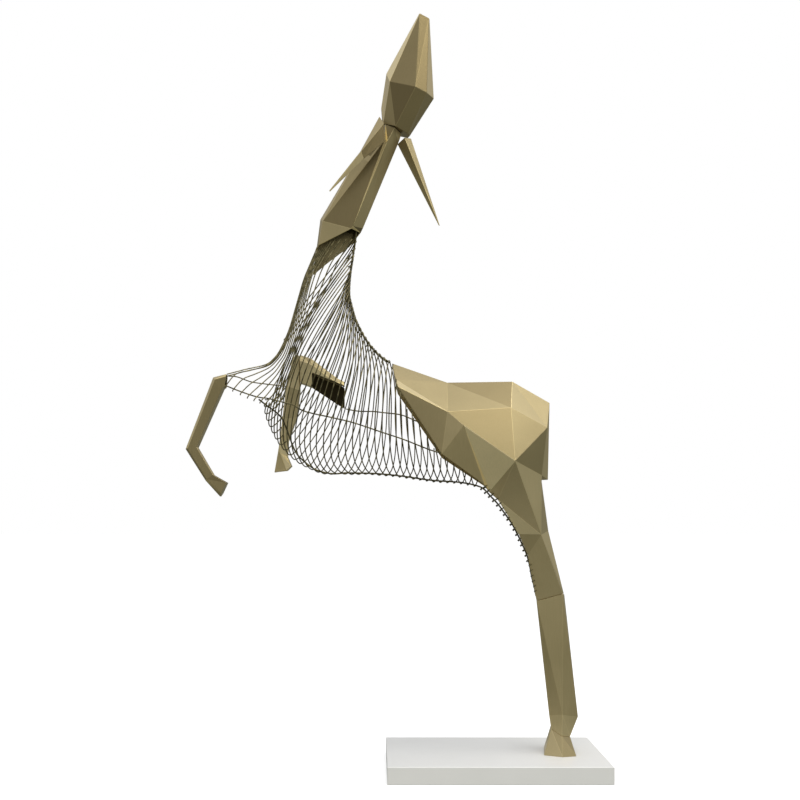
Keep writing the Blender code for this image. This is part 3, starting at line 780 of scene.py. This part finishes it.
def make_long_rods(finish):
    """The pair along the spine, the keel rod from the arm down to the knee, and one on each flank."""
    spine = [cage_section(section)[0] for section in evenly(*SPINE_SPAN, 80)]
    pair = [[point + Vector((0, side * SPINE_HALF_SPREAD, 0)) for point in spine] for side in (-1, 1)]
    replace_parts(tube("spine_rods", pair, SPINE_RADIUS, finish), "spine_rod_near", "spine_rod_far")
    belly = [under_skin(section, math.pi, KEEL_DEPTH) for section in evenly(*BELLY_SPAN, 18)]
    keel = smooth_route([*CHEST_ROUTE, *belly, *THIGH_ROUTE], count=150)
    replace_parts(tube("keel_rods", [keel], KEEL_RADIUS, finish), "keel_rod")
    near = smooth_route([*SHOULDER_ROUTE, *flank_route(NEAR_FLANK, -1, count=18), NEAR_FLANK_END], count=90)
    far = smooth_route([*flank_route(FAR_FLANK, 1, count=20), FAR_FLANK_END], count=50)
    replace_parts(tube("flank_rods", [near, far], FLANK_RADIUS, finish), "flank_rod_near", "flank_rod_far")


def make_arm_wires(finish):
    """Strands from inside the neck along the throat, which fan out over the raised arm."""
    keys = (TIP_STRAND, MIDDLE_STRAND, INNER_STRAND, CHEST_STRAND)
    keys = [[Vector(point) for point in strand] for strand in keys]
    made = []
    for at in evenly(0.0, len(keys) - 1, ARM_STRANDS):
        strand = [curve_value(points, at) for points in zip(*keys)]
        made.append(smooth_route([*strand, strand[-1] + STRAND_TAIL], count=70))
    outline = [Vector(point) for point in ARM_OUTLINE]
    made.append(smooth_route(outline, count=70))
    made.append(smooth_route([point + INNER_OUTLINE_OFFSET for point in outline], count=70))
    beside_neck = outline[:FAR_OUTLINE_POINTS]
    far = [Vector((point.x + FAR_OUTLINE_OFFSET, -point.y, point.z)) for point in beside_neck]
    made.append(smooth_route(far, count=50))
    made.append(smooth_route(INNER_ARM_ROD, count=30))
    nodes = [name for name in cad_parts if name.startswith(("shoulder_wire", "throat_rod"))]
    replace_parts(tube("arm_wires", made, WIRE_RADIUS, finish), *nodes)


def thigh_edge_point(z, inwards):
    """A point of the thigh's near plate edge at this height, moved in towards the mid-plane."""
    x, y = table_value([(-corner[2], *corner[:2]) for corner in THIGH_EDGE], -z)
    return Vector((x, y + inwards, z))


def make_thigh_lacing(finish):
    """Short wires from the near plate edge over the rod to the far edge, and knots on the keel rod."""
    laces, knots = [], []
    rod = [Vector(point) for point in THIGH_ROUTE]
    for number in range(LACE_COUNT):
        knotted = number < KNOTTED_LACES
        middle = curve_value(rod, (len(rod) - 1) * number / LACE_COUNT) + LACE_OFFSET
        near = thigh_edge_point(middle.z + LACE_DROP, KNOTTED_LACE_INSET if knotted else -WIRE_RADIUS)
        far = Vector(far_twin(near))
        laces.append(smooth_route([near + LACE_END, near, middle, far, far + LACE_END], count=24))
        if knotted:
            knots.append([middle, middle + THIGH_KNOT])
    for place in keel_places(WIRE_COUNT, *WIRES_AT_KEEL)[-BELLY_KNOTS:]:
        keel = cage_section(place)[1]
        knots.append([keel, keel + BELLY_KNOT])
    tube("thigh_lacing", laces, WIRE_RADIUS, finish, roundness=1)
    tube("thigh_knots", knots, KNOT_RADIUS, finish)


def make_spine_hooks(finish):
    """Wire ends bent over the two spine rods, which give the ridge its ladder look."""
    hooks = []
    first, last = HOOK_SPAN
    near = Vector((0.0, -(SPINE_HALF_SPREAD + SPINE_RADIUS + WIRE_RADIUS), 0.0))
    for number in range(HOOK_COUNT):
        spine, keel, _ = cage_section(first + (last - first) * (number + 0.5) / HOOK_COUNT)
        out = (spine - keel).normalized()
        over = out * (SPINE_RADIUS + WIRE_RADIUS)
        low = -out * HOOK_LEGS
        lean = Vector((out.z, 0.0, -out.x)) * HOOK_LEAN
        bends = (
            near + low + lean,
            near + lean / 2,
            near / 2 + over,
            -near / 2 + over,
            -near - lean / 2,
            -near + low - lean,
        )
        hooks.append(smooth_route([spine + bend for bend in bends], count=20))
    tube("spine_hooks", hooks, WIRE_RADIUS, finish, roundness=1)


def make_floor():
    """A plain pale floor, slightly luminous, that the metal doesn't mirror."""
    mesh = bpy.data.meshes.new("floor")
    shape = bmesh.new()
    bmesh.ops.create_grid(shape, x_segments=1, y_segments=1, size=FLOOR_HALF_SIZE)
    shape.to_mesh(mesh)
    shape.free()
    floor = bpy.data.objects.new("floor", mesh)
    bpy.context.scene.collection.objects.link(floor)
    finish, _, shader = new_material("floor_pale")
    shader.inputs["Base Color"].default_value = (0.93, 0.93, 0.93, 1.0)
    shader.inputs["Roughness"].default_value = 0.9
    shader.inputs["Emission Color"].default_value = (1.0, 1.0, 1.0, 1.0)
    shader.inputs["Emission Strength"].default_value = 0.4
    mesh.materials.append(finish)
    floor.visible_glossy = False
    floor.visible_diffuse = False


def add_room(tree):
    """The shader of a room that is bright above and dim below."""
    way = tree.nodes.new("ShaderNodeTexCoord")
    parts = tree.nodes.new("ShaderNodeSeparateXYZ")
    tree.links.new(way.outputs["Generated"], parts.inputs["Vector"])
    height = tree.nodes.new("ShaderNodeMapRange")
    height.inputs["From Min"].default_value = -1.0
    height.inputs["From Max"].default_value = 1.0
    tree.links.new(parts.outputs["Z"], height.inputs["Value"])
    ramp = tree.nodes.new("ShaderNodeValToRGB")
    for _ in ROOM_LIGHT[1:-1]:
        ramp.color_ramp.elements.new(0.5)
    for slot, (up, light) in zip(ramp.color_ramp.elements, ROOM_LIGHT):
        tint = LOW_TINT if up < TINT_CHANGE_HEIGHT else HIGH_TINT
        slot.position = (up + 1) / 2
        slot.color = (*(light / ROOM_STRENGTH * part for part in tint), 1.0)
    tree.links.new(height.outputs["Result"], ramp.inputs["Fac"])
    room = tree.nodes.new("ShaderNodeBackground")
    room.inputs["Strength"].default_value = ROOM_STRENGTH
    tree.links.new(ramp.outputs["Color"], room.inputs["Color"])
    return room.outputs["Background"]


def make_world():
    """White to the camera, and the room to the metal."""
    world = bpy.data.worlds.new("studio")
    bpy.context.scene.world = world
    world.use_nodes = True
    tree = world.node_tree
    tree.nodes.clear()
    paper = tree.nodes.new("ShaderNodeBackground")
    paper.inputs["Color"].default_value = (1.0, 1.0, 1.0, 1.0)
    paper.inputs["Strength"].default_value = 1.0
    rays = tree.nodes.new("ShaderNodeLightPath")
    both = tree.nodes.new("ShaderNodeMixShader")
    tree.links.new(rays.outputs["Is Camera Ray"], both.inputs["Fac"])
    tree.links.new(add_room(tree), both.inputs[1])
    tree.links.new(paper.outputs["Background"], both.inputs[2])
    tree.links.new(both.outputs["Shader"], tree.nodes.new("ShaderNodeOutputWorld").inputs["Surface"])


def hang_lamp(name, place, target, size, power):
    """A soft square lamp that looks at its target."""
    lamp = bpy.data.lights.new(name, "AREA")
    lamp.shape = "SQUARE"
    lamp.size = size
    lamp.energy = power
    lamp.color = LAMP_COLOUR
    made = bpy.data.objects.new(name, lamp)
    made.location = place
    made.rotation_euler = (Vector(target) - made.location).to_track_quat("-Z", "Y").to_euler()
    bpy.context.scene.collection.objects.link(made)
    return made


def make_light():
    """The world, a lamp above, a fill in front that the metal doesn't mirror, and plain colours."""
    make_world()
    hang_lamp("ceiling", place=(1.2, -0.9, 4.4), target=(-0.1, 0.0, 1.1), size=2.4, power=70.0)
    fill = hang_lamp("front_fill", place=(-0.8, -4.2, 1.2), target=(0.1, 0.0, 0.2), size=1.2, power=60.0)
    fill.visible_glossy = False
    bpy.context.scene.view_settings.view_transform = "Standard"


def make_camera():
    """The photograph's camera, with its lens shifted to the frame."""
    lens = bpy.data.cameras.new("camera")
    lens.lens = CAMERA_LENS_MM
    lens.sensor_width = CAMERA_SENSOR_MM
    lens.shift_x, lens.shift_y = CAMERA_SHIFT
    camera = bpy.data.objects.new("camera", lens)
    camera.location = CAMERA_PLACE
    camera.rotation_euler = (math.pi / 2, 0.0, 0.0)
    bpy.context.scene.collection.objects.link(camera)
    bpy.context.scene.camera = camera


def main():
    """Builds the studio and then dresses each part of the doe."""
    make_camera()
    make_light()
    make_floor()
    plates = brushed_brass("satin_brass", light=(0.49, 0.40, 0.215), dark=(0.41, 0.335, 0.175))
    wires = wire_metal("dark_brass_wire", light=(0.28, 0.24, 0.12), dark=(0.060, 0.054, 0.026))
    # A lighter copy of the wire metal, as painted highlight on the arm's strands and the spine hooks
    painted_highlight_wires = wire_metal("brass_wire_painted_highlight", light=(0.42, 0.36, 0.19), dark=(0.13, 0.115, 0.055))
    for name in PLATE_NODES:
        dress_plates(name, plates)
    dress_plinth()
    make_cage_wires(wires)
    make_long_rods(wires)
    make_arm_wires(painted_highlight_wires)
    make_thigh_lacing(wires)
    make_spine_hooks(painted_highlight_wires)


main()
